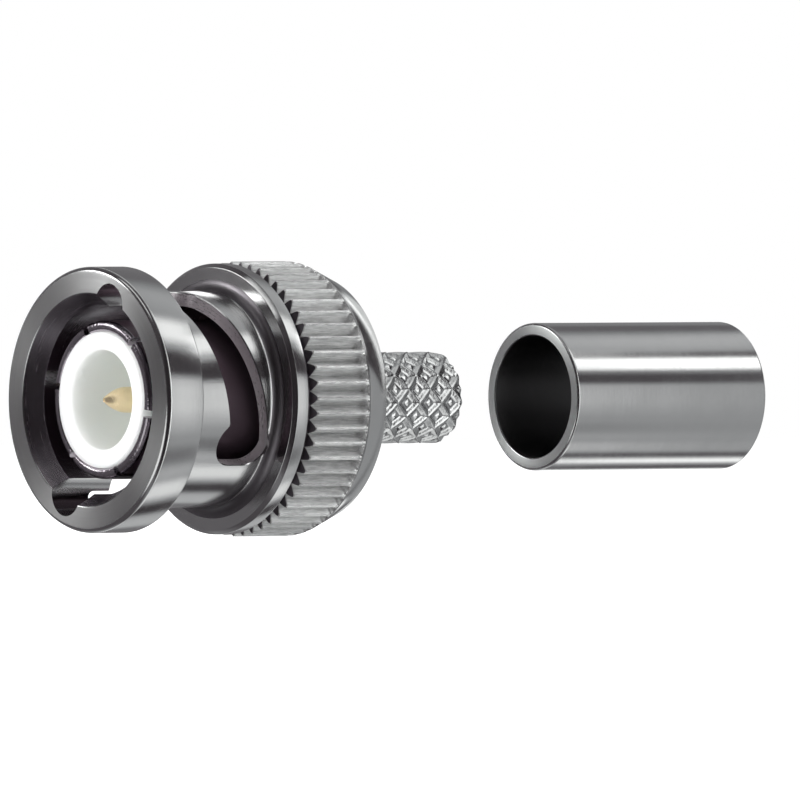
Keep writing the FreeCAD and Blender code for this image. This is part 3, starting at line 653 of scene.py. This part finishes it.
def seen_directly(shader):
    """1 for rays that show the background: camera, glossy and transmission rays."""
    path = shader.add("ShaderNodeLightPath")
    seen = shader.math("MAXIMUM", path.outputs["Is Camera Ray"], path.outputs["Is Glossy Ray"])
    return shader.math("MAXIMUM", seen, path.outputs["Is Transmission Ray"])


floor_shader = Shader("FloorPaint")
floor_look = floor_shader.principled(Base_Color=(0.6, 0.6, 0.6, 1), Roughness=0.9)
floor_look.inputs["Specular IOR Level"].default_value = 0.0
floor_look.inputs["Emission Color"].default_value = (1, 1, 1, 1)
floor_shader.feed(floor_look.inputs["Emission Strength"],
                  floor_shader.math("MULTIPLY", seen_directly(floor_shader), 0.75))
floor_mesh = bpy.data.meshes.new("floor")
corners = ((-1, -1), (1, -1), (1, 1), (-1, 1))
floor_mesh.from_pydata([(x * FLOOR_HALF * MM, y * FLOOR_HALF * MM, FLOOR_Z * MM) for x, y in corners],
                       [], [(0, 1, 2, 3)])
floor_mesh.materials.append(floor_shader.material)
floor = link("floor", floor_mesh)
floor.visible_glossy = False


class WorldShader(Shader):
    def __init__(self, world):
        world.use_nodes = True
        self.tree = world.node_tree
        self.tree.nodes.clear()
        self.output = self.add("ShaderNodeOutputWorld")


world = bpy.data.worlds.new("World")
bpy.context.scene.world = world
world_shader = WorldShader(world)
sky = world_shader.add("ShaderNodeBackground")
sky.inputs["Color"].default_value = (1, 1, 1, 1)
world_shader.feed(sky.inputs["Strength"],
                  world_shader.spread(seen_directly(world_shader), 0.55, 1.0, 0.0, 1.0))
world_shader.tree.links.new(sky.outputs[0], world_shader.output.inputs[0])

# What the metal mirrors. Each part of the studio has a plain level and long strips along the connector's
# axis: the angle of a strip's middle round that axis, from straight in front (0) over the top (90) to behind
# (180), its half width, how far its edge fades, all in degrees, and its level. From the mating end to the
# cable end, AHEAD comes first, which is dim, then BESIDE_NUT, BESIDE_FERRULE and PAST_END.
BESIDE_NUT = (0.44, [
    (0, 8, 24, 0.95), (30, 8, 6, 0.06), (60, 6, 9, 1.4), (102, 10, 14, 0.52), (150, 25, 22, 0.2),
    (-48, 3, 8, 0.25), (-64, 2, 6, 0.6), (-83, 5, 8, 1.1), (-107, 5, 6, 0.06), (-131, 9, 8, 0.6),
    (-165, 18, 8, 0.2),
])
BESIDE_FERRULE = (0.44, [
    (27, 4.5, 7, 0.1), (51, 7, 5, 2.5), (68, 2, 6, 0.1), (91, 6, 16, 0.67), (133, 8, 16, 0.165),
    (168, 20, 8, 0.27), (-104, 2, 7, 0.12), (-121, 3.5, 6, 1.6), (-147, 6, 8, 0.12), (-174, 8, 10, 1.0),
])
PAST_END = (0.4, [(68, 30, 8, 0.06), (119, 6, 5, 1.8), (152, 16, 10, 0.8), (-112, 6, 8, 0.25)])
AHEAD = (0.1, [
    (0, 45, 20, 0.032), (-77, 5, 8, 0.22), (90, 25, 15, 0.07), (180, 20, 25, 0.17), (-180, 20, 25, 0.17),
])
# Soft boxes over the mating end: middle, inner and outer half angle in degrees, level
BOXES = [((-0.6, 0.68, 0.42), 5, 13, 6.0), ((-0.92, 0.0, -0.38), 14, 22, 1.1)]
# A curved tube over the side, mirrored where a rounded edge leans this much towards the mating end.
# It is dimmer above and below.
EDGE_LEAN, EDGE_LEVEL = 0.27, 2.0
# A slanting strip over the mating end: its middle, the normal of the plane that it lies in, and its level
STRIP_MIDDLE, STRIP_NORMAL, STRIP_LEVEL = (-0.49, 0.09, 0.865), (-0.763, 0.429, -0.484), 1.4
# Where one part of the studio goes over into the next, as x for a dome of radius 1
AHEAD_TO_NUT, NUT_TO_FERRULE, FERRULE_TO_END = (-0.2, 0.55), (0.695, 0.73), (0.795, 0.82)
DOME_R = 0.15
# The faint cast of the studio, from its darkest parts to its lights
CASTS = [
    (0.0, (1.0, 0.84, 0.94)), (0.1, (1.0, 0.93, 0.99)), (0.3, (0.97, 1.0, 1.01)), (1.0, (0.98, 1.0, 0.985)),
]

dome_shader = Shader("StudioDome")
toward = dome_shader.add("ShaderNodeVectorMath", operation="NORMALIZE")
dome_shader.feed(toward.inputs[0], dome_shader.add("ShaderNodeNewGeometry").outputs["Position"])
parts = dome_shader.add("ShaderNodeSeparateXYZ")
dome_shader.feed(parts.inputs[0], toward.outputs[0])
around = dome_shader.math("ARCTAN2", parts.outputs[2], dome_shader.math("MULTIPLY", parts.outputs[1], -1.0))
around = dome_shader.math("MULTIPLY", around, 360 / TURN)


def color_ramp(shader, value, stops):
    ramp = shader.add("ShaderNodeValToRGB")
    shader.feed(ramp.inputs[0], value)
    elements = ramp.color_ramp.elements
    while len(elements) > 1:
        elements.remove(elements[-1])
    for index, (place_on_ramp, color) in enumerate(stops):
        stop = elements[0] if index == 0 else elements.new(place_on_ramp)
        stop.position = place_on_ramp
        stop.color = tuple(color) + (1,)
    return ramp.outputs[0]


def by_angle(plain, strips):
    level = plain
    for middle, half, fade, strip_level in strips:
        away = dome_shader.math("ABSOLUTE", dome_shader.math("SUBTRACT", around, float(middle)))
        window = dome_shader.spread(away, 1.0, 0.0, half, half + fade)
        more = dome_shader.math("SUBTRACT", strip_level, level)
        level = dome_shader.math("MULTIPLY_ADD", window, more, level)
    return level


def near(direction, inner, outer):
    """1 within inner degrees of a direction, falling to 0 at outer."""
    dot = dome_shader.add("ShaderNodeVectorMath", operation="DOT_PRODUCT")
    dome_shader.feed(dot.inputs[0], toward.outputs[0])
    dot.inputs[1].default_value = Vector(direction).normalized()
    return dome_shader.spread(dot.outputs["Value"], 0.0, 1.0, math.cos(math.radians(outer)),
                              math.cos(math.radians(inner)))


beside_ferrule = dome_shader.spread(parts.outputs[0], 0.0, 1.0, *NUT_TO_FERRULE)
beside = dome_shader.mix(beside_ferrule, by_angle(*BESIDE_NUT), by_angle(*BESIDE_FERRULE))
past_end = dome_shader.spread(parts.outputs[0], 0.0, 1.0, *FERRULE_TO_END)
beside = dome_shader.mix(past_end, beside, by_angle(*PAST_END))
behind = dome_shader.spread(parts.outputs[0], 0.0, 1.0, *AHEAD_TO_NUT)
level = dome_shader.mix(behind, by_angle(*AHEAD), beside)
outward = dome_shader.add("ShaderNodeVectorMath", operation="ADD")
dome_shader.feed(outward.inputs[0], toward.outputs[0])
outward.inputs[1].default_value = -VIEW
middle = dome_shader.add("ShaderNodeVectorMath", operation="NORMALIZE")
dome_shader.feed(middle.inputs[0], outward.outputs[0])
lean = dome_shader.add("ShaderNodeSeparateXYZ")
dome_shader.feed(lean.inputs[0], middle.outputs[0])
away = dome_shader.math("ABSOLUTE", dome_shader.math("ADD", lean.outputs[0], EDGE_LEAN))
edge_tube = dome_shader.spread(away, EDGE_LEVEL, 0.0, 0.03, 0.06)
up = dome_shader.math("ABSOLUTE", lean.outputs[2])
level = dome_shader.math("MULTIPLY_ADD", edge_tube, dome_shader.spread(up, 1.0, 0.3, 0.25, 0.7), level)
for direction, inner, outer, box_level in BOXES:
    level = dome_shader.math("MULTIPLY_ADD", near(direction, inner, outer), box_level, level)
strip = dome_shader.math("MULTIPLY", near(STRIP_MIDDLE, 14, 22), STRIP_LEVEL)
one_edge = dome_shader.spread(near(STRIP_NORMAL, 84, 96), 0.0, 1.0, 0.0, 0.3)
other_edge = dome_shader.spread(near(STRIP_NORMAL, 84, 96), 1.0, 0.0, 0.7, 1.0)
strip = dome_shader.math("MULTIPLY", strip, dome_shader.math("MULTIPLY", one_edge, other_edge))
level = dome_shader.math("ADD", level, strip)
glow = dome_shader.add("ShaderNodeEmission")
dome_shader.feed(glow.inputs["Color"], color_ramp(dome_shader, level, CASTS))
dome_shader.feed(glow.inputs["Strength"], level)
dome_shader.tree.links.new(glow.outputs[0], dome_shader.output.inputs[0])

dome_mesh = bpy.data.meshes.new("studio_dome")
dome_form = bmesh.new()
bmesh.ops.create_icosphere(dome_form, subdivisions=5, radius=DOME_R)
dome_form.to_mesh(dome_mesh)
dome_form.free()
dome_mesh.materials.append(dome_shader.material)
dome = link("studio_dome", dome_mesh)
dome.visible_camera = False
dome.visible_diffuse = False
dome.visible_shadow = False
dome.visible_transmission = False


def soft_box(name, spot, size, power):
    lamp = bpy.data.lights.new(name, "AREA")
    lamp.shape = "DISK"
    lamp.size = size
    lamp.energy = power
    holder = link(name, lamp)
    holder.location = spot
    holder.rotation_mode = "QUATERNION"
    holder.rotation_quaternion = (AIM - Vector(spot)).to_track_quat("-Z", "Y")
    holder.visible_glossy = False


soft_box("KeyLight", (0.3, -0.2, 1.0), 0.6, 9.0)
soft_box("FillLight", (0.8, -0.8, 0.5), 0.8, 6.0)
soft_box("MouthLight", (-1.2, 0.15, 0.1), 0.9, 29.0)
